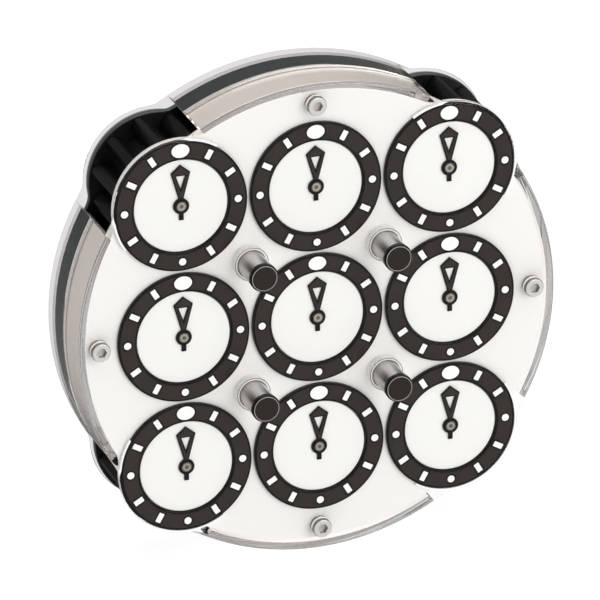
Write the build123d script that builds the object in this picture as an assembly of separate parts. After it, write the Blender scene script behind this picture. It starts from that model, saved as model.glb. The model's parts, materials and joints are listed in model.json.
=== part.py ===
from build123d import *
import math
import os

# Hand-held mechanical puzzle with nine small clock dials on each side.
#
# Frame: the puzzle stands upright, as it is held. +X is to the right, +Z is towards
# twelve o'clock, and the front dials face -Y. The origin is the centre of the back
# cover's outer face, so the whole case lies at negative Y. Millimetres throughout.
#
# Inside, every dial is a twelve-tooth gear. Four pins stand between the dials, and each
# carries an eight-tooth gear that turns on it. Pushed forward, a pin meshes the four
# front dials around it; pushed back, it meshes the four back dials. The corner wheels
# are long gears that reach through both layers and carry a hand on each side.

# ---- driving dimensions -----------------------------------------------------------

DIAL_SPACING = 30.0            # centre to centre of neighbouring dials
HALF_DEPTH = 11.0              # from the middle plane to a cover's outer face
MIDDLE_Y = -HALF_DEPTH         # the middle plane, as the back face is at Y = 0

COVER_RADIUS = 53.6            # clear covers
COVER_LOBE_RADIUS = 15.2
COVER_FACE = 1.0               # thickness of a cover's face
COVER_WALL = 1.6
COVER_EDGE_ROUND = 0.7
LOBE_BLEND = 5.0               # hollow corner between the disc and a lobe

SHELL_RADIUS = 51.8            # opaque shells inside the covers
SHELL_LOBE_RADIUS = 14.8
SHELL_FACE = 1.3
SHELL_WALL = 1.6
SHELL_EDGE_ROUND = 0.3

COVER_GAP = 0.1                # air between a ring's top and its cover
RING_HEIGHT = 0.9              # dial rings, between a shell and its cover
RING_INNER_RADIUS = 10.5
RING_OUTER_RADIUS = 14.65
RING_EDGE_ROUND = 0.25

DIAL_TEETH = 12
PIN_TEETH = 8
PRESSURE_ANGLE = 25.0
DIAL_TIP_RADIUS = 14.4
PIN_GEAR_TIP_RADIUS = 10.3
TOOTH_CLEARANCE = 0.4          # between a tip and the root it faces
BACKLASH = 0.3                 # off each tooth's thickness at the pitch circle

LAYER_INNER = 1.3              # a dial gear's faces, from the middle plane
LAYER_OUTER = 7.3
DISC_RADIUS = 10.3             # dial disc, showing inside its ring
DISC_RECESS = 0.5              # below the ring's top

HAND_THICKNESS = 0.35
HAND_TIP = 9.35                # from the axle
HAND_SHOULDER = (2.15, 7.55)   # half width, and distance from the axle
HAND_NECK = (0.45, 1.4)
HAND_OPENING_TIP = 3.8
HAND_OPENING_TOP = (1.05, 6.85)
HAND_TAIL_WIDTH = 1.0
HAND_TAIL_REACH = 3.15
HUB_RADIUS = 1.75
HUB_HEIGHT = 0.4

AXLE_RADIUS = 1.1
AXLE_REACH = 9.95              # from the middle plane to an axle's end
AXLE_BOSS_RADIUS = 2.75
RUNNING_CLEARANCE = 0.06

PIN_RADIUS = 3.05
PIN_CAP_RADIUS = 3.15
PIN_CAP_LENGTH = 1.1
PIN_CAP_ROUND = 0.5
PIN_TRAVEL = 8.6
PIN_BACK_RECESS = 0.1          # rear caps stop just inside the back face
PIN_GEAR_LENGTH = 3.6
PIN_COLLAR_RADIUS = 3.7
PIN_COLLAR_LENGTH = 0.6

BUSHING_RADIUS = 3.8
BUSHING_BORE_RADIUS = 3.25
BUSHING_FLANGE_RADIUS = 5.0
BUSHING_FLANGE = 0.8
BUSHING_PROUD = 0.3            # of the front cover; the back ones are flush
BUSHING_GROOVE_RADIUS = 3.6
BUSHING_GROOVE = (8.1, 8.9)    # span of the detent ring's groove, from the middle plane
DETENT_RING_RADII = (3.2, 3.55)
DETENT_RING_GAP = 1.2
DETENT_RING_FREEDOM = 0.05     # each side, along the groove

SCREW_CIRCLE = 48.8
SCREW_HEAD_RADIUS = 2.1
SCREW_HEAD_PROUD = 0.8         # above the front cover
SCREW_HEAD_ROUND = 0.3
SCREW_HEAD_CLEARANCE = 0.1
SCREW_SHAFT_RADIUS = 1.2
SCREW_SHAFT_REACH = 5.7        # behind the middle plane
SCREW_SOCKET_WIDTH = 2.0       # across the flats of the hexagonal recess
SCREW_SOCKET_DEPTH = 1.0
SCREW_BOSS_RADIUS = 2.8
NUT_BARREL_RADIUS = 1.9
NUT_BARREL_START = 1.5         # from the middle plane
NUT_THREAD_END = 5.9
NUT_RECESS = 0.1
NUT_SLOT = (0.7, 0.8)          # width and depth

CORE_PLATE_HALF = 1.0          # middle plate, half its thickness
CORE_RIM_HALF = 0.3            # thin rim held between the covers' walls
CORE_RIM_RADIUS = 52.3
CORE_PLATE_RADIUS = 50.1
PIN_GEAR_HOLE_RADIUS = 10.8
WHEEL_SLOT_HALF = 14.8         # half the width of a window for a corner wheel
POST_THICKNESS = 1.6
POST_RADII = (48.4, 51.2)
POST_CLEARANCE = 0.05          # where a shell's skirt laps over a post

# ---- places -----------------------------------------------------------------------

CORNERS = {"upper_left": (-1, 1), "upper_right": (1, 1), "lower_left": (-1, -1), "lower_right": (1, -1)}
CROSS = {"top": (0, 1), "left": (-1, 0), "centre": (0, 0), "right": (1, 0), "bottom": (0, -1)}

corner_spots = [(DIAL_SPACING * i, DIAL_SPACING * j) for i, j in CORNERS.values()]
cross_spots = [(DIAL_SPACING * i, DIAL_SPACING * j) for i, j in CROSS.values()]
pin_spots = [(DIAL_SPACING / 2 * i, DIAL_SPACING / 2 * j) for i, j in CORNERS.values()]
screw_spots = [(0, SCREW_CIRCLE), (SCREW_CIRCLE, 0), (0, -SCREW_CIRCLE), (-SCREW_CIRCLE, 0)]

SHELL_OUTER = HALF_DEPTH - COVER_FACE - COVER_GAP - RING_HEIGHT
SHELL_INNER = SHELL_OUTER - SHELL_FACE
COVER_UNDERSIDE = HALF_DEPTH - COVER_FACE
RING_TOP = SHELL_OUTER + RING_HEIGHT
DISC_TOP = RING_TOP - DISC_RECESS

# ---- helpers ----------------------------------------------------------------------


def slab(sketch, near, far):
    """A flat shape seen from the front, as thick as from near to far of the middle plane."""
    low, high = sorted((near, far))
    return extrude(Plane.XZ.offset(-(MIDDLE_Y + high)) * sketch, high - low)


def mirrored(shape):
    """The same piece on the other side of the middle plane."""
    return mirror(shape, about=Plane.XZ.offset(-MIDDLE_Y))


def at(spots, sketch):
    """One sketch repeated at several places."""
    return Sketch() + [Pos(x, y) * sketch for x, y in spots]


def moved(shape, spot):
    """A solid moved sideways and up to a place on the face."""
    return Pos(spot[0], 0, spot[1]) * shape


def tube(outer, inner):
    """A flat ring."""
    return Circle(outer) - Circle(inner)


def save(name, shape):
    shape.label = name
    export_step(shape, f"parts/{name}.step")


# ---- gears ------------------------------------------------------------------------

MESH_DISTANCE = DIAL_SPACING / math.sqrt(2)
MODULE = 2 * MESH_DISTANCE / (DIAL_TEETH + PIN_TEETH)


def involute(angle):
    return math.tan(angle) - angle


def gear_outline(teeth, tip_radius, mate_tip_radius, first_tooth_deg):
    """Involute gear outline, with each flank drawn as an arc through three of its points."""
    pitch_radius = MODULE * teeth / 2
    base_radius = pitch_radius * math.cos(math.radians(PRESSURE_ANGLE))
    root_radius = MESH_DISTANCE - mate_tip_radius - TOOTH_CLEARANCE
    half_tooth = (math.pi * MODULE / 2 - BACKLASH) / 2 / pitch_radius

    def half_angle(radius):
        turned = math.acos(min(1.0, base_radius / radius))
        return half_tooth + involute(math.radians(PRESSURE_ANGLE)) - involute(turned)

    def point(radius, angle):
        return radius * math.cos(angle), radius * math.sin(angle)

    flank_start = max(base_radius, root_radius)
    flank_middle = (flank_start + tip_radius) / 2
    edges = []
    for tooth in range(teeth):
        middle = math.radians(first_tooth_deg + 360 * tooth / teeth)
        start, end = half_angle(flank_start), half_angle(tip_radius)
        halfway = half_angle(flank_middle)
        next_middle = middle + 2 * math.pi / teeth
        foot = point(root_radius, middle - start)
        foot_end = point(root_radius, middle + start)
        low = point(flank_start, middle - start)
        low_end = point(flank_start, middle + start)
        high = point(tip_radius, middle - end)
        high_end = point(tip_radius, middle + end)
        if root_radius < flank_start:
            edges.append(Line(foot, low))
        edges.append(ThreePointArc(low, point(flank_middle, middle - halfway), high))
        edges.append(ThreePointArc(high, point(tip_radius, middle), high_end))
        edges.append(ThreePointArc(high_end, point(flank_middle, middle + halfway), low_end))
        if root_radius < flank_start:
            edges.append(Line(low_end, foot_end))
        next_foot = point(root_radius, next_middle - start)
        root_middle = point(root_radius, middle + math.pi / teeth)
        edges.append(ThreePointArc(foot_end, root_middle, next_foot))
    return make_face(edges)


# A dial gear has a tooth, and a pin gear a gap, on each diagonal, so they mesh at rest
# and again after every twelfth of a turn.
dial_gear_outline = gear_outline(DIAL_TEETH, DIAL_TIP_RADIUS, PIN_GEAR_TIP_RADIUS, 45)
pin_gear_outline = gear_outline(PIN_TEETH, PIN_GEAR_TIP_RADIUS, DIAL_TIP_RADIUS, 45 + 180 / PIN_TEETH)
axle_bore = Circle(AXLE_RADIUS + RUNNING_CLEARANCE)

# ---- case outlines ----------------------------------------------------------------


def case_outline(disc_radius, lobe_radius):
    """Round case with a lobe round each corner dial, and hollow blends between them."""
    outline = Circle(disc_radius) + at(corner_spots, Circle(lobe_radius))
    return fillet(outline.vertices(), LOBE_BLEND)


def window_slots(half_width):
    """Openings at the corners, straight-sided and running outwards along each diagonal."""
    reach = 2 * DIAL_SPACING
    slot = Pos(DIAL_SPACING * math.sqrt(2) + reach / 2, 0) * Rectangle(reach, 2 * half_width)
    one = slot + Pos(DIAL_SPACING * math.sqrt(2), 0) * Circle(half_width)
    return Sketch() + [Rot(0, 0, 45 + 90 * k) * one for k in range(4)]


# ---- case -------------------------------------------------------------------------


def make_cover(screw_hole_radius):
    """Clear cover, made for the front: a flat face, a wall and openings at the corners."""
    face = slab(case_outline(COVER_RADIUS, COVER_LOBE_RADIUS), -COVER_UNDERSIDE, -HALF_DEPTH)
    rim = face.faces().sort_by(Axis.Y)[0].edges()
    face = fillet(rim, COVER_EDGE_ROUND)
    wall_outline = tube(COVER_RADIUS, COVER_RADIUS - COVER_WALL) - window_slots(WHEEL_SLOT_HALF)
    wall = slab(wall_outline, -CORE_RIM_HALF, -COVER_UNDERSIDE)
    holes = at(pin_spots, Circle(BUSHING_RADIUS)) + at(screw_spots, Circle(screw_hole_radius))
    return face + wall - slab(holes, -COVER_UNDERSIDE, -HALF_DEPTH)


def make_shell(boss_hole_radius):
    """Opaque shell, made for the front: a face with nine round windows, a skirt and bosses."""
    shell = slab(case_outline(SHELL_RADIUS, SHELL_LOBE_RADIUS), -SHELL_INNER, -SHELL_OUTER)
    outer_face = shell.faces().sort_by(Axis.Y)[0]
    inner_face = shell.faces().sort_by(Axis.Y)[-1]
    shell = fillet(outer_face.edges() + inner_face.edges(), SHELL_EDGE_ROUND)
    windows = at(corner_spots + cross_spots, Circle(RING_INNER_RADIUS))
    shell -= slab(windows, -SHELL_INNER, -SHELL_OUTER)
    post_room = window_slots(WHEEL_SLOT_HALF + POST_THICKNESS + POST_CLEARANCE)
    post_room &= Circle(POST_RADII[1] + POST_CLEARANCE)
    skirt = tube(SHELL_RADIUS, SHELL_RADIUS - SHELL_WALL)
    skirt -= window_slots(WHEEL_SLOT_HALF) + post_room
    bosses = at(screw_spots, Circle(SCREW_BOSS_RADIUS))
    shell += slab(skirt, -CORE_RIM_HALF, -SHELL_INNER - SHELL_EDGE_ROUND)
    shell += slab(bosses & Circle(SHELL_RADIUS), -CORE_PLATE_HALF, -SHELL_INNER)
    shell -= slab(at(pin_spots, Circle(BUSHING_RADIUS)), -SHELL_INNER, -SHELL_OUTER)
    return shell - slab(at(screw_spots, Circle(boss_hole_radius)), 0, -SHELL_OUTER)


def make_ring():
    """One dial ring, made for the front, with its two upper edges rounded."""
    ring = slab(tube(RING_OUTER_RADIUS, RING_INNER_RADIUS), -SHELL_OUTER, -RING_TOP)
    upper = ring.faces().sort_by(Axis.Y)[0].edges()
    return fillet(upper, RING_EDGE_ROUND)


def make_core_frame():
    """Middle plate with axle bosses, a thin outer rim and a post beside each window."""
    gaps = at(pin_spots, Circle(PIN_GEAR_HOLE_RADIUS)) + window_slots(WHEEL_SLOT_HALF)
    frame = slab(Circle(CORE_PLATE_RADIUS) - gaps, -CORE_PLATE_HALF, CORE_PLATE_HALF)
    frame += slab(Circle(CORE_RIM_RADIUS) - gaps, -CORE_RIM_HALF, CORE_RIM_HALF)
    axle_boss = at(cross_spots, Circle(AXLE_BOSS_RADIUS))
    frame += slab(axle_boss, RUNNING_CLEARANCE - LAYER_INNER, LAYER_INNER - RUNNING_CLEARANCE)
    post = window_slots(WHEEL_SLOT_HALF + POST_THICKNESS) - window_slots(WHEEL_SLOT_HALF)
    post = post & tube(POST_RADII[1], POST_RADII[0])
    frame += slab(post, -SHELL_INNER, SHELL_INNER)
    frame -= slab(at(cross_spots, Circle(AXLE_RADIUS)), -LAYER_INNER, LAYER_INNER)
    screw_holes = at(screw_spots, Circle(SCREW_SHAFT_RADIUS))
    return frame - slab(screw_holes, -CORE_PLATE_HALF, CORE_PLATE_HALF)


def make_screw():
    """Round-headed case screw with a hexagonal socket."""
    top = HALF_DEPTH + SCREW_HEAD_PROUD
    head = slab(Circle(SCREW_HEAD_RADIUS), -SHELL_OUTER, -top)
    head = fillet(head.faces().sort_by(Axis.Y)[0].edges(), SCREW_HEAD_ROUND)
    shaft = slab(Circle(SCREW_SHAFT_RADIUS), SCREW_SHAFT_REACH, -SHELL_OUTER)
    socket = RegularPolygon(SCREW_SOCKET_WIDTH / 2, 6, major_radius=False)
    return head + shaft - slab(socket, SCREW_SOCKET_DEPTH - top, -top)


def make_nut():
    """Barrel nut for a case screw, with a slotted head let into the back cover."""
    top = HALF_DEPTH - NUT_RECESS
    head = slab(Circle(SCREW_HEAD_RADIUS), SHELL_OUTER, top)
    barrel = slab(Circle(NUT_BARREL_RADIUS), NUT_BARREL_START, SHELL_OUTER)
    thread = slab(Circle(SCREW_SHAFT_RADIUS), NUT_BARREL_START, NUT_THREAD_END)
    slot_width, slot_depth = NUT_SLOT
    slot = slab(Rectangle(2 * SCREW_HEAD_RADIUS, slot_width), top - slot_depth, top)
    return head + barrel - thread - slot


def make_bushing(proud):
    """Nylon sleeve for one end of a pin, made for the front, with a groove for its ring."""
    top = HALF_DEPTH + proud
    body = slab(Circle(BUSHING_RADIUS), -SHELL_INNER, -top)
    flange = slab(Circle(BUSHING_FLANGE_RADIUS), BUSHING_FLANGE - SHELL_INNER, -SHELL_INNER)
    bore = slab(Circle(BUSHING_BORE_RADIUS), 0, -top)
    groove_start, groove_end = BUSHING_GROOVE
    groove = slab(Circle(BUSHING_GROOVE_RADIUS), -groove_start, -groove_end)
    return body + flange - bore - groove


def make_detent_ring():
    """Open spring ring that grips a pin inside its bushing, made for the front."""
    inner, outer = DETENT_RING_RADII
    gap = Pos(0, -outer) * Rectangle(DETENT_RING_GAP, 2 * outer)
    groove_start, groove_end = BUSHING_GROOVE
    near = groove_start + DETENT_RING_FREEDOM
    far = groove_end - DETENT_RING_FREEDOM
    return slab(tube(outer, inner) - gap, -near, -far)


# ---- dials ------------------------------------------------------------------------


def make_disc():
    """Dial disc, made for the front, standing on its gear."""
    return slab(Circle(DISC_RADIUS) - axle_bore, -LAYER_OUTER, -DISC_TOP)


def make_dial_gear():
    """Dial gear for the front layer, moulded in one with its disc."""
    gear = slab(dial_gear_outline - axle_bore, -LAYER_INNER, -LAYER_OUTER)
    return gear + make_disc()


def make_thumb_wheel():
    """Long corner gear that reaches through both layers and carries the back disc."""
    gear = slab(dial_gear_outline - axle_bore, -LAYER_OUTER, LAYER_OUTER)
    return gear + mirrored(make_disc())


def make_hand():
    """Kite-shaped hand with an open middle, a round hub and a short tail, for the front."""
    shoulder, shoulder_reach = HAND_SHOULDER
    neck, neck_reach = HAND_NECK
    left_edge = [(-shoulder, shoulder_reach), (-neck, neck_reach)]
    right_edge = [(neck, neck_reach), (shoulder, shoulder_reach)]
    blade = Polygon((0, HAND_TIP), *left_edge, *right_edge, align=None)
    top_half, top = HAND_OPENING_TOP
    opening = Polygon((0, HAND_OPENING_TIP), (top_half, top), (-top_half, top), align=None)
    tail = Pos(0, -HAND_TAIL_REACH / 2) * Rectangle(HAND_TAIL_WIDTH, HAND_TAIL_REACH)
    outline = blade - opening + Circle(HUB_RADIUS) + tail - axle_bore
    hub = slab(Circle(HUB_RADIUS) - axle_bore, -DISC_TOP, -DISC_TOP - HUB_HEIGHT)
    return slab(outline, -DISC_TOP, -DISC_TOP - HAND_THICKNESS) + hub


# ---- pins -------------------------------------------------------------------------

PIN_FRONT = -HALF_DEPTH - PIN_TRAVEL
PIN_BACK = HALF_DEPTH - PIN_BACK_RECESS
PIN_GEAR_MIDDLE = -PIN_TRAVEL / 2


def make_pin_rod():
    """Steel rod with a collar on each side of its gear."""
    rod = slab(Circle(PIN_RADIUS), PIN_FRONT + PIN_CAP_LENGTH, PIN_BACK - PIN_CAP_LENGTH)
    for side in (-1, 1):
        near = PIN_GEAR_MIDDLE + side * PIN_GEAR_LENGTH / 2
        rod += slab(Circle(PIN_COLLAR_RADIUS), near, near + side * PIN_COLLAR_LENGTH)
    return rod


def make_pin_caps():
    """The two plastic caps on the ends of one rod, with rounded outer edges."""
    front = slab(Circle(PIN_CAP_RADIUS), PIN_FRONT, PIN_FRONT + PIN_CAP_LENGTH)
    front = fillet(front.faces().sort_by(Axis.Y)[0].edges(), PIN_CAP_ROUND)
    back = slab(Circle(PIN_CAP_RADIUS), PIN_BACK - PIN_CAP_LENGTH, PIN_BACK)
    back = fillet(back.faces().sort_by(Axis.Y)[-1].edges(), PIN_CAP_ROUND)
    return front, back


def make_pin_gear():
    """Small gear that turns on its rod between the collars."""
    half = PIN_GEAR_LENGTH / 2 - RUNNING_CLEARANCE
    bore = Circle(PIN_RADIUS + RUNNING_CLEARANCE)
    return slab(pin_gear_outline - bore, PIN_GEAR_MIDDLE - half, PIN_GEAR_MIDDLE + half)


# ---- the whole puzzle -------------------------------------------------------------

os.makedirs("parts", exist_ok=True)

front_bushings = [moved(make_bushing(BUSHING_PROUD), spot) for spot in pin_spots]
back_bushings = [mirrored(moved(make_bushing(0), spot)) for spot in pin_spots]
front_detent_rings = [moved(make_detent_ring(), spot) for spot in pin_spots]
back_detent_rings = [mirrored(ring) for ring in front_detent_rings]
front_rings = [moved(make_ring(), spot) for spot in corner_spots + cross_spots]
axle = slab(Circle(AXLE_RADIUS), -AXLE_REACH, AXLE_REACH)

save("front_cover", make_cover(SCREW_HEAD_RADIUS + SCREW_HEAD_CLEARANCE))
save("front_shell", make_shell(SCREW_SHAFT_RADIUS))
save("front_dial_rings", Compound(children=front_rings))
save("back_cover", mirrored(make_cover(SCREW_HEAD_RADIUS + SCREW_HEAD_CLEARANCE)))
save("back_shell", mirrored(make_shell(NUT_BARREL_RADIUS)))
save("back_dial_rings", Compound(children=[mirrored(ring) for ring in front_rings]))
save("core_frame", make_core_frame())
save("dial_axles", Compound(children=[moved(axle, spot) for spot in corner_spots + cross_spots]))
save("case_screws", Compound(children=[moved(make_screw(), spot) for spot in screw_spots]))
save("case_nuts", Compound(children=[moved(make_nut(), spot) for spot in screw_spots]))
save("pin_bushings", Compound(children=front_bushings + back_bushings))
save("pin_detent_rings", Compound(children=front_detent_rings + back_detent_rings))

thumb_wheel = make_thumb_wheel()
front_disc = make_disc()
front_hand = make_hand()
back_hand = mirrored(front_hand)
for place, spot in zip(CORNERS, corner_spots):
    save(f"thumb_wheel_{place}", moved(thumb_wheel, spot))
    save(f"front_disc_{place}", moved(front_disc, spot))
    save(f"front_hand_{place}", moved(front_hand, spot))
    save(f"back_hand_{place}", moved(back_hand, spot))

front_gear = make_dial_gear()
back_gear = mirrored(front_gear)
for place, spot in zip(CROSS, cross_spots):
    save(f"front_gear_{place}", moved(front_gear, spot))
    save(f"front_hand_{place}", moved(front_hand, spot))
    save(f"back_gear_{place}", moved(back_gear, spot))
    save(f"back_hand_{place}", moved(back_hand, spot))

pin_rod = make_pin_rod()
pin_caps = make_pin_caps()
pin_gear = make_pin_gear()
for place, spot in zip(CORNERS, pin_spots):
    save(f"pin_rod_{place}", moved(pin_rod, spot))
    save(f"pin_caps_{place}", Compound(children=[moved(cap, spot) for cap in pin_caps]))
    save(f"pin_gear_{place}", moved(pin_gear, spot))
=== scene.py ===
# %% [markdown]
# # A hand-held puzzle with eighteen clock dials
#
# This lesson dresses a finished CAD model: a round puzzle in a clear case, with nine small
# clock dials on each side, four pins to push through it, and four corner wheels to turn.
# The CAD model is already exact, so almost every shape in it stays. What it lacks is what
# a maker adds last: printed marks, inlaid hands, and the way that each plastic and metal
# takes the light. We load the model first and note its size, because nothing that we add
# may make it larger.

# %% Load the model and note its size
import json
import math

import bmesh
import bpy
from mathutils import Matrix, Vector

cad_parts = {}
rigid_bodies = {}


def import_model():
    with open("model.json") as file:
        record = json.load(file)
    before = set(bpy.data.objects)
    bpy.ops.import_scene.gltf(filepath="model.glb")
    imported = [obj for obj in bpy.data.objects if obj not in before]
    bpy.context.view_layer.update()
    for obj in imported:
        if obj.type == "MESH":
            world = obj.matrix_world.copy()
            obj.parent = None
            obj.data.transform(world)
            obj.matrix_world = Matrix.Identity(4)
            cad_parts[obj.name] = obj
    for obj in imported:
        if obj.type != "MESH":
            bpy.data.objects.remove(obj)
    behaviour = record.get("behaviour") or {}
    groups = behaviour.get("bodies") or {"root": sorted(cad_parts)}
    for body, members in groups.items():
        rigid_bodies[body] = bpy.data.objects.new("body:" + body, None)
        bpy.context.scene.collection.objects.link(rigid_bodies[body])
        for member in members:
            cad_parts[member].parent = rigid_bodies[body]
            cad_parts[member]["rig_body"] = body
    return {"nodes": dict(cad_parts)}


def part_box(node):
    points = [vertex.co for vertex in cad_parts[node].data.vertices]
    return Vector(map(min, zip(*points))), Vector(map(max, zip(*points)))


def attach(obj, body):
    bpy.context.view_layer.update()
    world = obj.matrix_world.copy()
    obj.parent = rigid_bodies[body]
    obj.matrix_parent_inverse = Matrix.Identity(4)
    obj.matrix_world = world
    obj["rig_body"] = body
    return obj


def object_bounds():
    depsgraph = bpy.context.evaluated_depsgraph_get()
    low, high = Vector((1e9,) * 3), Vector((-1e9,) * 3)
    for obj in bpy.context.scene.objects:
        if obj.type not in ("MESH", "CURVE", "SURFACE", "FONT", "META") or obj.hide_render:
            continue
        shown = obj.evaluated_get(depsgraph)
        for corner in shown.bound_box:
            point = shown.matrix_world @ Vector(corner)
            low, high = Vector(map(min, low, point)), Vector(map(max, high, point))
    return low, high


MM = 0.001

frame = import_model()
cad_nodes = frame["nodes"]
cad_low, cad_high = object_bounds()
print("parts:", len(cad_nodes), "size in mm:", [round(v / MM, 1) for v in cad_high - cad_low])

# %% [markdown]
# ## Helpers for colour and nodes
#
# Colours are easiest to choose as the hex values that a paint program shows. Those are
# sRGB numbers, and a shader works in linear light, so one function turns them over.
# A second function adds a shader node with its settings and its links in one line, which
# keeps each material short enough to read like a recipe. A third starts a material, and
# hands back its shader and the Object coordinates that the patterns are drawn in.


# %% Colour and node helpers
def linear(hex_value):
    """An sRGB hex colour as linear red, green, blue and alpha."""
    parts = [int(hex_value[i : i + 2], 16) / 255 for i in (1, 3, 5)]
    return [p / 12.92 if p <= 0.04045 else ((p + 0.055) / 1.055) ** 2.4 for p in parts] + [1]


def add(tree, kind, settings=None, links=None):
    """Adds a node. Settings name its inputs or its own properties, and links its inputs."""
    made = tree.nodes.new(kind)
    for name, value in (settings or {}).items():
        if isinstance(name, int) or name in made.inputs:
            made.inputs[name].default_value = value
        else:
            setattr(made, name, value)
    for name, source in (links or {}).items():
        tree.links.new(source, made.inputs[name])
    return made


def new_finish(name, settings):
    """A material with one Principled shader and these settings on its own sockets."""
    material = bpy.data.materials.new(name)
    material.use_nodes = True
    tree = material.node_tree
    tree.nodes.clear()
    shader = add(tree, "ShaderNodeBsdfPrincipled", settings)
    add(tree, "ShaderNodeOutputMaterial", links={"Surface": shader.outputs["BSDF"]})
    place = add(tree, "ShaderNodeTexCoord")
    return material, tree, shader, place.outputs["Object"]


print("white is", linear("#FFFFFF")[:3])

# %% [markdown]
# ## Painted light and shade on the sides
#
# The sides of some parts face the light differently from their flat faces, so their side
# tint is painted light and shade: a grey sheen on the black shell, a warm shade on the
# white shell and the front cover, and a darker shade on the screw heads. All the flat faces
# of this puzzle look forwards or backwards, along Y, so the size of the normal's Y tells
# face and side apart. Between them the tint changes softly, over the rounded edge.

# %% Face tints, and painted light and shade on the sides
SIDE_BELOW, FACE_ABOVE = 0.55, 0.95


def face_or_side_shading(tree, face, side):
    """One colour where the surface faces front or back, and painted light and shade where it faces
    sideways.
    """
    shape = add(tree, "ShaderNodeNewGeometry")
    apart = add(tree, "ShaderNodeSeparateXYZ", links={"Vector": shape.outputs["Normal"]})
    front = add(tree, "ShaderNodeMath", {"operation": "ABSOLUTE"}, {0: apart.outputs["Y"]})
    flat = add(
        tree,
        "ShaderNodeMapRange",
        {"From Min": SIDE_BELOW, "From Max": FACE_ABOVE},
        {"Value": front.outputs[0]},
    )
    mix = add(
        tree,
        "ShaderNodeMix",
        {"data_type": "RGBA", 6: linear(side), 7: linear(face)},
        {0: flat.outputs["Result"]},
    )
    return mix.outputs[2]


print("side tint below", SIDE_BELOW, "and face tint above", FACE_ABOVE)

# %% [markdown]
# ## Moulded plastic
#
# Most of the puzzle is injection-moulded. A steel mould is polished or spark-eroded, and
# the plastic copies that skin: semi-gloss, with a very faint orange-peel. We draw it as a
# noise that tilts the surface a little, and a second, broader noise that varies the gloss.
# The real grain is about 0.1 mm; it is drawn at 0.5 mm, so that it shows at this size.
# The two shells also get painted light and shade on their sides: a warm shade on the white
# one, and a grey sheen on the black one.

# %% Moulded plastic finishes
PLASTIC_IOR = 1.53
GRAIN_MM = 0.5
FLOW_MM = 12


def moulded(name, tint, roughness, relief_mm=0.004, spread=0.06, shine=0.5, side=None):
    """Semi-gloss moulded plastic. The gloss varies by spread to either side of roughness."""
    material, tree, shader, place = new_finish(
        name, {"Base Color": linear(tint), "IOR": PLASTIC_IOR, "Specular IOR Level": shine}
    )
    grain = add(
        tree,
        "ShaderNodeTexNoise",
        {"Scale": 1 / (GRAIN_MM * MM), "Detail": 2},
        {"Vector": place},
    )
    bump = add(
        tree,
        "ShaderNodeBump",
        {"Distance": relief_mm * MM, "Strength": 0.5},
        {"Height": grain.outputs["Fac"]},
    )
    flow = add(
        tree,
        "ShaderNodeTexNoise",
        {"Scale": 1 / (FLOW_MM * MM), "Detail": 1},
        {"Vector": place},
    )
    gloss = add(
        tree,
        "ShaderNodeMapRange",
        {"To Min": roughness - spread, "To Max": roughness + spread},
        {"Value": flow.outputs["Fac"]},
    )
    tree.links.new(bump.outputs["Normal"], shader.inputs["Normal"])
    tree.links.new(gloss.outputs["Result"], shader.inputs["Roughness"])
    # A side tint, where one is given, is painted light and shade on the part's sides.
    if side:
        tree.links.new(face_or_side_shading(tree, tint, side), shader.inputs["Base Color"])
    return material


finishes = {
    # Glossy white ABS of the front shell, very slightly warm, with a warmer painted shade at its
    # side.
    "white_abs": moulded("white ABS, moulded", "#F9F7F4", 0.32, side="#FBF4EF"),
    # Black ABS of the back shell, with a grey painted sheen on its side, where it would catch the
    # light.
    "black_abs": moulded("black ABS, moulded", "#161617", 0.30, side="#505656"),
    # Satin discs in the dials.
    "dial_white": moulded("white dial disc, satin", "#F8F8F4", 0.5),
    "dial_black": moulded("black dial disc, satin", "#262322", 0.45),
    # The corner wheels, with a slight sheen along their ridges.
    "wheel_black": moulded("black thumb wheel, moulded", "#070708", 0.3, shine=0.6),
    # Slippery acetal of the gears.
    "white_acetal": moulded("white acetal gear", "#E6E5E0", 0.4),
    # The hands, whose lighter faces are inlaid further below.
    "hand_black": moulded("black hand, moulded", "#050404", 0.35, shine=0.2),
    "hand_white": moulded("white hand, moulded", "#EFEEEA", 0.35),
}
print("moulded finishes:", len(finishes))

# %% [markdown]
# ## Clear polycarbonate
#
# Both covers are clear polycarbonate from a polished mould. Their rims bend light into
# bright and grey streaks of whatever is round them, and the flat face almost vanishes.
# The real plastic has an IOR of 1.585. In this bare studio that value turned the rims
# black and the dials hazy, so the front cover is given 1.33 instead. The back cover is
# mostly seen past or through the front one, and gets 1.12 and a light smoke tint. A
# wide, shallow noise stands for the flow of the melt, which makes the streaks wander
# slightly.

# %% Clear cover finishes
MELT_MM = 20
MELT_RELIEF_MM = 0.02


def clear_plastic(name, face, side, bend):
    material, tree, shader, place = new_finish(
        name, {"Roughness": 0.0, "IOR": bend, "Transmission Weight": 1.0}
    )
    # Where the face and side tints differ, the side tint is painted shade on the cover's rim.
    tree.links.new(face_or_side_shading(tree, face, side), shader.inputs["Base Color"])
    melt = add(
        tree,
        "ShaderNodeTexNoise",
        {"Scale": 1 / (MELT_MM * MM), "Detail": 0},
        {"Vector": place},
    )
    bump = add(
        tree,
        "ShaderNodeBump",
        {"Distance": MELT_RELIEF_MM * MM, "Strength": 0.4},
        {"Height": melt.outputs["Fac"]},
    )
    tree.links.new(bump.outputs["Normal"], shader.inputs["Normal"])
    return material


# The front cover's rim gets a slightly darker, warmer tint as painted shade; the back cover's two
# tints are the same.
front_clear = clear_plastic("clear polycarbonate, polished", "#FDFDFD", "#F7F5F3", 1.33)
back_clear = clear_plastic("clear polycarbonate, smoke tint", "#D9D7D7", "#D9D7D7", 1.12)
finishes["clear_polycarbonate"] = front_clear
print("clear finishes:", [front_clear.name, back_clear.name])

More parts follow.
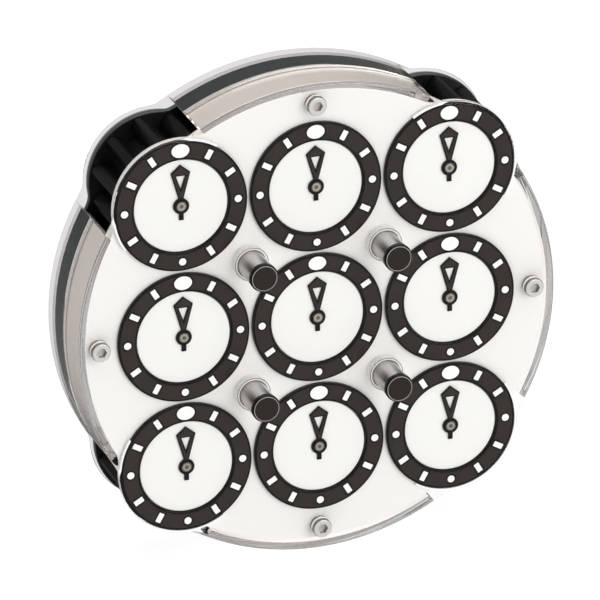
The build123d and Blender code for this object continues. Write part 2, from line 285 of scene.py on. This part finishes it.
# %% [markdown]
# ## Patterns round a dial or a pin
#
# All the dials stand 30 mm apart, so wrapping the Object coordinates every 30 mm gives
# every dial the same centre. The pins stand half a step off the dials both ways, so the
# same wrap serves them after a shift of half a step. The distance from that centre then
# drives a colour ramp, and one material serves every dial or every pin.

# %% Distances and bands of colour
DIAL_SPACING = 30 * MM


def from_dial_centre(tree, place):
    """Sideways, upwards and straight distances from the nearest dial's centre, as sockets."""
    apart = add(tree, "ShaderNodeSeparateXYZ", links={"Vector": place})
    half = DIAL_SPACING / 2
    across, upward = (
        add(
            tree,
            "ShaderNodeMath",
            {"operation": "WRAP", 1: half, 2: -half},
            {0: apart.outputs[axis]},
        )
        for axis in ("X", "Z")
    )
    flat = add(
        tree, "ShaderNodeCombineXYZ", links={"X": across.outputs[0], "Y": upward.outputs[0]}
    )
    length = add(tree, "ShaderNodeVectorMath", {"operation": "LENGTH"}, {0: flat.outputs[0]})
    return across.outputs[0], upward.outputs[0], length.outputs["Value"]


def from_pin_centre(tree, place):
    """The same three distances from the nearest pin, which stands half a step off the dials."""
    half = DIAL_SPACING / 2
    shift = {"operation": "ADD", 1: (half, 0, half)}
    moved = add(tree, "ShaderNodeVectorMath", shift, {0: place})
    return from_dial_centre(tree, moved.outputs["Vector"])


def banded(tree, factor, stops):
    """A colour ramp over this factor, with (position, hex colour) stops."""
    ramp = add(tree, "ShaderNodeValToRGB", links={"Fac": factor})
    elements = ramp.color_ramp.elements
    for element, (position, tint) in zip(elements, (stops[0], stops[-1])):
        element.position, element.color = position, linear(tint)
    for position, tint in stops[1:-1]:
        elements.new(position).color = linear(tint)
    return ramp.outputs["Color"]


def round_bands(tree, distance, radius, stops):
    """Bands of colour round a centre. Their positions are shares of this radius."""
    share = add(tree, "ShaderNodeMath", {"operation": "DIVIDE", 1: radius}, {0: distance})
    return banded(tree, share.outputs[0], stops)


print("dials every", round(DIAL_SPACING / MM, 1), "mm")

# %% [markdown]
# ## Dial rings, with painted shade on their edges
#
# Each ring is gloss plastic, with a darker line painted along its inner and outer edge as
# the shade on its rounded edges. Both lines are equally wide, so the distance from the
# middle of the ring's own width says whether a point lies on either of them.

# %% Ring finishes
RING_INNER, RING_OUTER = 10.5 * MM, 14.65 * MM
EDGE_SHADE_WIDTH = 0.46 * MM
EDGE_SHADE_BLUR = 0.03 * MM


# The darker line along both edges of a ring is painted shade on its rounded edges.
def edge_shaded_ring(name, face, edge_shade, roughness):
    material, tree, shader, place = new_finish(
        name, {"Roughness": roughness, "IOR": PLASTIC_IOR, "Specular IOR Level": 0.15}
    )
    away = from_dial_centre(tree, place)[2]
    middle = (RING_INNER + RING_OUTER) / 2
    reach = (RING_OUTER - RING_INNER) / 2 - EDGE_SHADE_WIDTH
    off = add(tree, "ShaderNodeMath", {"operation": "SUBTRACT", 1: middle}, {0: away})
    aside = add(tree, "ShaderNodeMath", {"operation": "ABSOLUTE"}, {0: off.outputs[0]})
    edge_shade_mask = add(
        tree,
        "ShaderNodeMapRange",
        {"From Min": reach - EDGE_SHADE_BLUR, "From Max": reach + EDGE_SHADE_BLUR},
        {"Value": aside.outputs[0]},
    )
    mix = add(
        tree,
        "ShaderNodeMix",
        {"data_type": "RGBA", 6: linear(face), 7: linear(edge_shade)},
        {0: edge_shade_mask.outputs["Result"]},
    )
    tree.links.new(mix.outputs[2], shader.inputs["Base Color"])
    return material


finishes["ring_black"] = edge_shaded_ring("charcoal dial ring, gloss", "#332C29", "#040302", 0.28)
finishes["ring_white"] = edge_shaded_ring("white dial ring, gloss", "#F2F0ED", "#8E8A86", 0.28)
print("ring is", round((RING_OUTER - RING_INNER) / MM, 2), "mm wide")

# %% [markdown]
# ## Sleeves and pin caps
#
# Each pin slides in a white nylon sleeve, and the gap between the sleeve and the case lies
# in shade. The gap is too thin to show by itself, so its shade is painted on the sleeve, as
# a dark band just inside its edge. The caps on the pins have a satin face, and a fine line
# of light where the edge rounds over. The rounding is as thin as the gap, so that line is a
# painted highlight as well.

# %% Sleeve and cap finishes
SLEEVE_RADIUS = 3.8 * MM
# White sleeve, then a dark band of painted shade for the gap, then white again at its edge.
SLEEVE_GAP_SHADE_BANDS = [(0.945, "#FBFAF8"), (0.955, "#141312"), (0.98, "#141312"), (0.99, "#F3F2EF")]
CAP_RADIUS = 3.15 * MM
# Dark satin face, a thin black line, a painted highlight where the edge rounds over, then the
# black side.
CAP_HIGHLIGHT_BANDS = [
    (0.80, "#2E2825"),
    (0.82, "#060505"),
    (0.845, "#060505"),
    (0.855, "#C9C5C1"),
    (0.875, "#C9C5C1"),
    (0.885, "#060505"),
]


def sleeve(name):
    """A white sleeve with painted shade for the gap, as a dark line round its outer edge."""
    material, tree, shader, place = new_finish(name, {"Roughness": 0.4, "IOR": PLASTIC_IOR})
    away = from_pin_centre(tree, place)[2]
    bands = round_bands(tree, away, SLEEVE_RADIUS, SLEEVE_GAP_SHADE_BANDS)
    tree.links.new(bands, shader.inputs["Base Color"])
    return material


def highlight_lined_cap(name):
    """A black cap: satin face, a painted highlight line where its edge rounds over, and a dark
    side.
    """
    material, tree, shader, place = new_finish(
        name, {"Roughness": 0.3, "IOR": PLASTIC_IOR, "Specular IOR Level": 0.35}
    )
    away = from_pin_centre(tree, place)[2]
    bands = round_bands(tree, away, CAP_RADIUS, CAP_HIGHLIGHT_BANDS)
    tree.links.new(bands, shader.inputs["Base Color"])
    return material


finishes["white_nylon"] = sleeve("white nylon sleeve")
finishes["cap_black"] = highlight_lined_cap("black pin cap, satin")
print("sleeve and cap radius in mm:", round(SLEEVE_RADIUS / MM, 2), round(CAP_RADIUS / MM, 2))

# %% [markdown]
# ## Spring wire and axle ends
#
# The spring rings in the sleeves are plain steel wire. Wire is drawn through a die, which
# leaves fine lines along it. The rings lie across Y, so a noise that is stretched twenty
# times along X and Z runs with the wire. The lines are really 0.05 mm apart; here they
# are 0.25 mm, so that they can be seen. The axles show only their ends, with the small
# dimple that a turned part keeps from its centre drill. The dimple is not shaped: its shade
# and the highlight on its rim are painted as bands of light and dark steel round the centre.

# %% Wire and axle finishes
WIRE_LINE_MM = 0.25
WIRE_STRETCH = (0.05, 1, 0.05)
AXLE_RADIUS = 1.1 * MM
# Painted shade in the dimple and at the rim, with a painted highlight round the dimple.
AXLE_DIMPLE_SHADING = [
    (0, "#8C857A"),
    (0.38, "#978F84"),
    (0.5, "#EDE6DA"),
    (0.72, "#D9D2C6"),
    (1, "#6E675D"),
]


def drawn_wire(name, tint, roughness, relief_mm, spread=0.05):
    material, tree, shader, place = new_finish(
        name, {"Base Color": linear(tint), "Metallic": 1.0}
    )
    squeeze = add(tree, "ShaderNodeMapping", {"Scale": WIRE_STRETCH}, {"Vector": place})
    grooves = add(
        tree,
        "ShaderNodeTexNoise",
        {"Scale": 1 / (WIRE_LINE_MM * MM), "Detail": 3},
        {"Vector": squeeze.outputs["Vector"]},
    )
    bump = add(
        tree,
        "ShaderNodeBump",
        {"Distance": relief_mm * MM, "Strength": 0.4},
        {"Height": grooves.outputs["Fac"]},
    )
    gloss = add(
        tree,
        "ShaderNodeMapRange",
        {"To Min": roughness - spread, "To Max": roughness + spread},
        {"Value": grooves.outputs["Fac"]},
    )
    tree.links.new(bump.outputs["Normal"], shader.inputs["Normal"])
    tree.links.new(gloss.outputs["Result"], shader.inputs["Roughness"])
    return material


def painted_dimple_end(name):
    material, tree, shader, place = new_finish(name, {"Metallic": 1.0, "Roughness": 0.35})
    away = from_dial_centre(tree, place)[2]
    bands = round_bands(tree, away, AXLE_RADIUS, AXLE_DIMPLE_SHADING)
    tree.links.new(bands, shader.inputs["Base Color"])
    return material


finishes["spring_steel"] = drawn_wire("spring wire, plain", "#A5A4A2", 0.3, 0.003)
finishes["steel_axle"] = painted_dimple_end("steel axle, centre-drilled")
print("bands on an axle end:", len(AXLE_DIMPLE_SHADING))

# %% [markdown]
# ## Steel pins and plated screws
#
# A round steel bar mirrors the room as dark streaks along its length. This studio is too
# plain for that, so these reflections are painted, by the angle round the pin, with painted
# highlights between them. They are strongest near the cap and fade towards the white case,
# which lights the foot of the pin. Pins and screws have a satin surface that scatters most
# of the light, so both are only partly metallic. The screws are pale on their heads, and
# their sides get a darker painted shade.

# %% Pin and screw finishes
SATIN_METAL = {"Metallic": 0.4, "Roughness": 0.3}
PIN_TINT = "#D2CDC8"
PIN_BASE_Y, PIN_CAP_Y = -22 * MM, -28.4 * MM
REFLECTION_AT_BASE, REFLECTION_AT_CAP = 0.25, 1.0
# Painted reflections: dark streaks with painted highlights between, by the angle round the pin.
PIN_REFLECTION_STREAKS = [
    (0, "#A39B95"),
    (0.2, "#D8D2CC"),
    (0.28, "#C9C2BC"),
    (0.33, "#3A3632"),
    (0.37, "#6E6964"),
    (0.42, "#DAD8D6"),
    (0.48, "#D0CECC"),
    (0.55, "#45403C"),
    (0.62, "#F4F2F0"),
    (1, "#A39B95"),
]


def reflection_streaked_pin(name):
    """Satin steel with two painted reflections that darken it in bands along the pin, as a round
    bar in a studio shows.
    """
    material, tree, shader, place = new_finish(name, SATIN_METAL)
    across, upward, _ = from_pin_centre(tree, place)
    angle = add(tree, "ShaderNodeMath", {"operation": "ARCTAN2"}, {0: across, 1: upward})
    turn = add(
        tree,
        "ShaderNodeMapRange",
        {"From Min": -math.pi, "From Max": math.pi},
        {"Value": angle.outputs[0]},
    )
    painted_reflections = banded(tree, turn.outputs["Result"], PIN_REFLECTION_STREAKS)
    along = add(tree, "ShaderNodeSeparateXYZ", links={"Vector": place})
    fade = add(
        tree,
        "ShaderNodeMapRange",
        {
            "From Min": PIN_BASE_Y,
            "From Max": PIN_CAP_Y,
            "To Min": REFLECTION_AT_BASE,
            "To Max": REFLECTION_AT_CAP,
        },
        {"Value": along.outputs["Y"]},
    )
    mix = add(
        tree,
        "ShaderNodeMix",
        {"data_type": "RGBA", 6: linear(PIN_TINT)},
        {0: fade.outputs["Result"], 7: painted_reflections},
    )
    tree.links.new(mix.outputs[2], shader.inputs["Base Color"])
    return material


def plated(name, face, side):
    """Satin plating, with one tint for the head's face and a darker painted shade on its side."""
    material, tree, shader, _ = new_finish(name, SATIN_METAL)
    tree.links.new(face_or_side_shading(tree, face, side), shader.inputs["Base Color"])
    return material


finishes["brushed_steel"] = reflection_streaked_pin("steel pin, turned")
# Pale head face, and a darker painted shade on the screw's side.
finishes["nickel_plated_steel"] = plated("nickel-plated screw, satin", "#F4F2EE", "#8A867C")
print("all finishes:", sorted(finishes))

# %% [markdown]
# ## The middle frame
#
# The middle frame is black ABS, and both clear covers are bonded to its thin rim. Left
# black, that rim would show as hard dark lines inside the clear walls, so it is drawn
# pale. The tint changes at one distance from the middle of the puzzle.

# %% Middle frame finish
CORE_RADIUS = 52.3 * MM
CORE_BANDS = [(0.958, "#161617"), (0.963, "#C4C0BC")]


def rimmed_core(name):
    """The middle frame: black, with a pale rim where the two covers are bonded to it."""
    material, tree, shader, place = new_finish(name, {"Roughness": 0.35, "IOR": PLASTIC_IOR})
    apart = add(tree, "ShaderNodeSeparateXYZ", links={"Vector": place})
    flat = add(
        tree, "ShaderNodeCombineXYZ", links={"X": apart.outputs["X"], "Y": apart.outputs["Z"]}
    )
    away = add(tree, "ShaderNodeVectorMath", {"operation": "LENGTH"}, {0: flat.outputs[0]})
    bands = round_bands(tree, away.outputs["Value"], CORE_RADIUS, CORE_BANDS)
    tree.links.new(bands, shader.inputs["Base Color"])
    return material


core_finish = rimmed_core("black ABS frame, pale rim")
print("pale rim starts at", round(CORE_BANDS[1][0] * CORE_RADIUS / MM, 1), "mm")

# %% [markdown]
# ## Dress the CAD parts
#
# Each CAD part came in with a plain material named for its finish, so we swap that for
# ours by name. The back cover and the middle frame then get the finishes made just for
# them. The two clear covers are also hidden from shadow and diffuse rays. Light from the
# lamps then reaches the dials straight through them, as it does through real clear
# plastic, and the render stays free of noise.

# %% Give every part its finish
for part in cad_nodes.values():
    for holder in part.material_slots:
        holder.material = finishes[holder.material.name.split(".")[0]]

for name, finish in (("back_cover", back_clear), ("core_frame", core_finish)):
    for holder in cad_nodes[name].material_slots:
        holder.material = finish

for name in ("front_cover", "back_cover"):
    cad_nodes[name].visible_shadow = False
    cad_nodes[name].visible_diffuse = False

print("parts dressed:", len(cad_nodes))

# %% [markdown]
# ## Marks on the rings
#
# Twelve marks are printed on every ring: an oval at twelve, dots at three, six and nine,
# and short bars between them. Ink has almost no height, but a real print has a crisp
# edge, so each mark is a tiny raised plate, 0.05 mm high. Under it lies a larger plate,
# half as high, whose margin is the mark's border. A plate starts as a circle or a square
# in bmesh, is stretched, moved out to its hour, and extruded, and the same twelve are
# then copied to nine rings.

# %% Marks round one dial
MIDDLE_Y = -11 * MM
RING_TOP = 9.9 * MM
MARK_CIRCLE = 12.57 * MM
OVAL = (1.98 * MM, 1.53 * MM)
DOT = 0.81 * MM
BAR = (0.6 * MM, 1.1 * MM)
BORDER = 0.36 * MM
MARK_HEIGHT, BORDER_HEIGHT = 0.05 * MM, 0.025 * MM


def raise_plate(bm, faces, height):
    """Makes a closed plate of this height from flat faces on the XY plane."""
    raised = bmesh.ops.extrude_face_region(bm, geom=faces, use_keep_orig=True)
    tops = [g for g in raised["geom"] if isinstance(g, bmesh.types.BMVert)]
    bmesh.ops.translate(bm, verts=tops, vec=(0, 0, height))


def add_mark(bm, hour, margin, height):
    """One flat mark at its hour, as a closed plate lying on the XY plane."""
    if hour == 0:
        shape = bmesh.ops.create_circle(bm, cap_ends=True, segments=40, radius=1)
        half = [side + margin for side in OVAL]
    elif hour % 3 == 0:
        shape = bmesh.ops.create_circle(bm, cap_ends=True, segments=24, radius=1)
        half = [DOT + margin] * 2
    else:
        shape = bmesh.ops.create_grid(bm, x_segments=1, y_segments=1, size=1)
        half = [side + margin for side in BAR]
    verts = shape["verts"]
    bmesh.ops.scale(bm, verts=verts, vec=(half[0], half[1], 1))
    bmesh.ops.translate(bm, verts=verts, vec=(0, MARK_CIRCLE, 0))
    turn = Matrix.Rotation(-math.radians(30 * hour), 3, "Z")
    bmesh.ops.rotate(bm, verts=verts, cent=(0, 0, 0), matrix=turn)
    raise_plate(bm, list({f for v in verts for f in v.link_faces}), height)


def stand_on_face(bm, side, level):
    """Stands flat shapes upright on the front (-1) or back (+1), this far from the middle."""
    verts = bm.verts[:]
    upright = Matrix.Rotation(-side * math.pi / 2, 3, "X")
    bmesh.ops.rotate(bm, verts=verts, cent=(0, 0, 0), matrix=upright)
    if side > 0:
        half_turn = Matrix.Rotation(math.pi, 3, "Y")
        bmesh.ops.rotate(bm, verts=verts, cent=(0, 0, 0), matrix=half_turn)
    bmesh.ops.translate(bm, verts=verts, vec=(0, MIDDLE_Y + side * level, 0))


def new_piece(name, bm, finish, body):
    """Turns a bmesh into a finished piece that rides on a body of the puzzle."""
    bmesh.ops.recalc_face_normals(bm, faces=bm.faces[:])
    mesh = bpy.data.meshes.new(name)
    bm.to_mesh(mesh)
    bm.free()
    piece = bpy.data.objects.new(name, mesh)
    bpy.context.scene.collection.objects.link(piece)
    mesh.materials.append(finish)
    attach(piece, body)
    return piece


def dial_places():
    steps = (-1, 0, 1)
    return [Vector((DIAL_SPACING * i, 0, DIAL_SPACING * j)) for j in steps for i in steps]


def make_marks(name, side, margin, height, finish):
    bm = bmesh.new()
    for hour in range(12):
        add_mark(bm, hour, margin, height)
    stand_on_face(bm, side, RING_TOP)
    first_verts = bm.verts[:]
    one_dial = first_verts + bm.edges[:] + bm.faces[:]
    for place in dial_places():
        copy = bmesh.ops.duplicate(bm, geom=one_dial)
        moved = [g for g in copy["geom"] if isinstance(g, bmesh.types.BMVert)]
        bmesh.ops.translate(bm, verts=moved, vec=place)
    bmesh.ops.delete(bm, geom=first_verts, context="VERTS")
    piece = new_piece(name, bm, finish, "case")
    return piece


ink_white = moulded("white printing ink", "#FFFFFC", 0.4, 0.001)
ink_black = moulded("black printing ink", "#040302", 0.35, 0.001, shine=0.15)
ink_grey = moulded("grey printing ink", "#A6A29E", 0.4, 0.001)

marks = [
    make_marks("front_ring_marks", -1, 0, MARK_HEIGHT, ink_white),
    make_marks("front_mark_borders", -1, BORDER, BORDER_HEIGHT, ink_black),
    make_marks("back_ring_marks", 1, 0, MARK_HEIGHT, ink_black),
    make_marks("back_mark_borders", 1, BORDER, BORDER_HEIGHT, ink_grey),
]
print("marks:", [(m.name, len(m.data.polygons)) for m in marks])

# %% [markdown]
# ## Inlays on the hands
#
# Every hand is a kite with an open middle. Its face is a shade lighter than its edge,
# because the face is a separate inlay pressed into the moulding. In bmesh the
# inlay starts as the kite's own outline with the opening left out, and inset_region
# draws its border inwards on both sides. The rim that the inset leaves is deleted, and
# what remains is extruded to a plate 0.05 mm high.

# %% Hand inlays
DISC_TOP = 9.4 * MM
HAND_THICKNESS = 0.35 * MM
HAND_BORDER = 0.3 * MM
INLAY_HEIGHT = 0.05 * MM
KITE = [(0, 9.35), (2.15, 7.55), (0.45, 1.4), (-0.45, 1.4), (-2.15, 7.55)]
OPENING = [(0, 3.8), (1.05, 6.85), (-1.05, 6.85)]


def make_inlay(name, node, side, finish):
    bm = bmesh.new()
    kite = [bm.verts.new((x * MM, y * MM, 0)) for x, y in KITE]
    hole = [bm.verts.new((x * MM, y * MM, 0)) for x, y in OPENING]
    tip, right, neck_right, neck_left, left = kite
    low, high_right, high_left = hole
    faces = [
        bm.faces.new((tip, left, high_left, high_right, right)),
        bm.faces.new((right, high_right, low, neck_right)),
        bm.faces.new((left, neck_left, low, high_left)),
        bm.faces.new((neck_left, neck_right, low)),
    ]
    bmesh.ops.recalc_face_normals(bm, faces=faces)
    rim = bmesh.ops.inset_region(
        bm, faces=faces, thickness=HAND_BORDER, use_boundary=True, use_even_offset=True
    )
    bmesh.ops.delete(bm, geom=rim["faces"], context="FACES")
    raise_plate(bm, bm.faces[:], INLAY_HEIGHT)
    stand_on_face(bm, side, DISC_TOP + HAND_THICKNESS)
    low_corner, high_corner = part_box(node)
    place = (low_corner + high_corner) / 2
    column = round(place.x / DIAL_SPACING) * DIAL_SPACING
    row = round(place.z / DIAL_SPACING) * DIAL_SPACING
    bmesh.ops.translate(bm, verts=bm.verts[:], vec=(column, 0, row))
    piece = new_piece(name, bm, finish, cad_nodes[node]["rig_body"])
    return piece


charcoal = moulded("charcoal hand inlay", "#332C29", 0.3, 0.002, shine=0.2)
ivory = moulded("white hand inlay", "#FBFAF6", 0.35, 0.002)
for node in sorted(cad_nodes):
    if node.startswith("front_hand_"):
        make_inlay(node.replace("hand", "hand_inlay"), node, -1, charcoal)
    elif node.startswith("back_hand_"):
        make_inlay(node.replace("hand", "hand_inlay"), node, 1, ivory)

# %% [markdown]
# ## Painted light on the lips at the corner dials
#
# The front shell ends in a narrow white lip outside each corner dial's ring, under the
# clear cover. There the lip lies in shade, but the clear cover's edge above it shines
# bright, so a pure white band is added over it as painted light. A band is as wide as a
# short line from its inner to its outer radius, so we draw that line once and spin it
# round the dial's centre in short steps.

# %% Painted light on the corner lips
LIP_INNER, LIP_OUTER = 14.72 * MM, 15.12 * MM
LIP_BOTTOM, LIP_TOP = 9.3 * MM, 9.95 * MM
LIP_REACH = math.radians(78)  # to either side of the corner's own direction
LIP_STEPS = 48


def make_lip_lights(name, side, finish):
    bm = bmesh.new()
    for corner in (Vector((x, y, 0)) * DIAL_SPACING for x in (-1, 1) for y in (-1, 1)):
        start = math.atan2(corner.y, corner.x) - LIP_REACH
        outward = Vector((math.cos(start), math.sin(start), 0))
        ends = [bm.verts.new(corner + radius * outward) for radius in (LIP_INNER, LIP_OUTER)]
        bmesh.ops.spin(
            bm,
            geom=[*ends, bm.edges.new(ends)],
            cent=corner,
            axis=(0, 0, 1),
            angle=2 * LIP_REACH,
            steps=LIP_STEPS,
        )
    raise_plate(bm, bm.faces[:], LIP_TOP - LIP_BOTTOM)
    stand_on_face(bm, side, LIP_BOTTOM)
    piece = new_piece(name, bm, finish, "case")
    return piece


# Pure white: painted light for the bright edge of the clear cover, over the shell's own white lip.
lip_light = moulded("white ABS lip, moulded", "#FFFFFF", 0.4, 0.001)
lip_lights = make_lip_lights("front_lip_lights", -1, lip_light)
print("lip faces:", len(lip_lights.data.polygons))

# %% [markdown]
# ## Light that dims in mirrors
#
# Glossy black plastic mirrors the white studio round it and turns grey. A real studio
# prevents that with black flags, which the plastic mirrors and the camera doesn't see.
# The Light Path node does the same here. It says how often a ray was mirrored before it
# reached the floor or the sky, and whether it comes to light a matt surface. So both get
# four strengths: looked at straight or through the covers, mirrored once, mirrored more
# often, and as a source of light.

# %% Strength by the number of mirrors
# Each row: looked at, mirrored once, mirrored more often, as a source of light.
SKY_LEVELS = (1.1, 0.12, 0.6, 0.34)
FLOOR_LEVELS = (0.9, 0.08, 0.5, 0.9)


def by_mirror_count(tree, straight, once, often, diffuse):
    """A strength that depends on how often a ray was mirrored on its way here."""
    ray = add(tree, "ShaderNodeLightPath")
    first = add(
        tree,
        "ShaderNodeMapRange",
        {"To Min": straight, "To Max": once},
        {"Value": ray.outputs["Glossy Depth"]},
    )
    more = add(
        tree,
        "ShaderNodeMapRange",
        {"From Min": 1, "From Max": 2, "To Min": 0, "To Max": often - once},
        {"Value": ray.outputs["Glossy Depth"]},
    )
    total = add(
        tree,
        "ShaderNodeMath",
        {"operation": "ADD"},
        {0: first.outputs[0], 1: more.outputs[0]},
    )
    spread = add(
        tree,
        "ShaderNodeMix",
        {"data_type": "FLOAT", 3: diffuse},
        {0: ray.outputs["Is Diffuse Ray"], 2: total.outputs[0]},
    )
    return spread.outputs[0]


print("strengths of the sky:", SKY_LEVELS, "and of the floor:", FLOOR_LEVELS)

# %% [markdown]
# ## A plain pale floor
#
# The puzzle stands on its round edge. The floor is one wide white sheet just under it,
# with a little light of its own, so that it stays an even white right up to the puzzle,
# as the paper sweep in a small product studio does. Surfaces don't mirror it directly.

# %% Floor
FLOOR_REACH = 30  # metres from the middle to each edge
FLOOR_GAP = 0.02 * MM

floor_bm = bmesh.new()
bmesh.ops.create_grid(floor_bm, x_segments=1, y_segments=1, size=FLOOR_REACH)
bmesh.ops.translate(floor_bm, verts=floor_bm.verts[:], vec=(0, 0, cad_low.z - FLOOR_GAP))
floor_mesh = bpy.data.meshes.new("floor")
floor_bm.to_mesh(floor_mesh)
floor_bm.free()
floor = bpy.data.objects.new("floor", floor_mesh)
bpy.context.scene.collection.objects.link(floor)
paper, paper_tree, paper_shader, _ = new_finish(
    "white paper sweep",
    {
        "Base Color": linear("#8C8C8C"),
        "Roughness": 0.9,
        "Specular IOR Level": 0.1,
        "Emission Color": linear("#FFFFFF"),
    },
)
glow = by_mirror_count(paper_tree, *FLOOR_LEVELS)
paper_tree.links.new(glow, paper_shader.inputs["Emission Strength"])
floor_mesh.materials.append(paper)
floor.visible_glossy = False
print("floor at", round(cad_low.z / MM, 2), "mm")

# %% [markdown]
# ## Soft studio light
#
# A wide lamp in front and to the right lights the dials evenly, a second from above keeps
# the top edge and the floor bright, and a dim world fills the rest. The left side has no
# lamp, so that the side wall falls into a gentle shade and the case looks round.


# %% Lamps and world
def add_lamp(name, position, target, size, power):
    lamp = bpy.data.lights.new(name, "AREA")
    lamp.shape = "RECTANGLE"
    lamp.size, lamp.size_y = size
    lamp.energy = power
    holder = bpy.data.objects.new(name, lamp)
    bpy.context.scene.collection.objects.link(holder)
    holder.location = position
    holder.rotation_euler = (Vector(target) - Vector(position)).to_track_quat("-Z", "Y").to_euler()
    return holder


centre = (cad_low + cad_high) / 2
add_lamp("front lamp", (0.55, -1.3, 0.45), centre, (1.0, 1.0), 9.0)
add_lamp("top lamp", (0.1, 0.1, 1.3), centre, (1.6, 1.6), 11)

world = bpy.data.worlds.new("studio")
bpy.context.scene.world = world
world.use_nodes = True
sky_tree = world.node_tree
sky = sky_tree.nodes["Background"]
sky.inputs["Color"].default_value = linear("#F9F4F0")
sky_tree.links.new(by_mirror_count(sky_tree, *SKY_LEVELS), sky.inputs["Strength"])
bpy.context.scene.view_settings.view_transform = "Standard"

# %% [markdown]
# ## Room for many bounces
#
# A ray that enters a clear rim meets many surfaces: two covers, each with an inner and an
# outer wall, and mirror images between them. A ray that runs out of bounces on the way
# ends black, and the rim gets black lines that no real plastic has. So we let a ray
# bounce more often than it usually may.

# %% Limits on bounces
THROUGH_BOUNCES = 32
MIRROR_BOUNCES = 16

paths = bpy.context.scene.cycles
paths.max_bounces = THROUGH_BOUNCES
paths.transmission_bounces = THROUGH_BOUNCES
paths.glossy_bounces = MIRROR_BOUNCES
print("bounces:", paths.max_bounces, "through clear plastic:", paths.transmission_bounces)

# %% [markdown]
# ## Camera
#
# The puzzle is seen from a little to its left and above, through a long lens, so that
# the dials stay nearly the same size across the face. We build the camera's axes from
# its two angles, and tip it by less than a degree, as a hand-held view would be.

# %% Camera
AZIMUTH, ELEVATION, TILT = (math.radians(a) for a in (-19.051, 23.139, 0.776))
DISTANCE = 1.5045
AIM = Vector((0, -21 * MM, 0))
SIDEWAYS, UPWARDS = -3.708 * MM, 3.75 * MM
LENS_MM, SENSOR_MM = 424.46, 36

right = Vector((math.cos(AZIMUTH), math.sin(AZIMUTH), 0))
back = Vector((math.sin(AZIMUTH), -math.cos(AZIMUTH), 0)) * math.cos(ELEVATION)
back.z = math.sin(ELEVATION)
up = back.cross(right)
tilted_right = right * math.cos(TILT) - up * math.sin(TILT)
tilted_up = right * math.sin(TILT) + up * math.cos(TILT)

camera_data = bpy.data.cameras.new("camera")
camera_data.lens = LENS_MM
camera_data.sensor_width = SENSOR_MM
camera_data.clip_start, camera_data.clip_end = 0.05, 100
camera = bpy.data.objects.new("camera", camera_data)
bpy.context.scene.collection.objects.link(camera)
camera.matrix_world = Matrix.Translation(
    AIM + back * DISTANCE + right * SIDEWAYS + up * UPWARDS
) @ Matrix((tilted_right, tilted_up, back)).transposed().to_4x4()
bpy.context.scene.camera = camera
print("camera at", [round(v, 3) for v in camera.location])
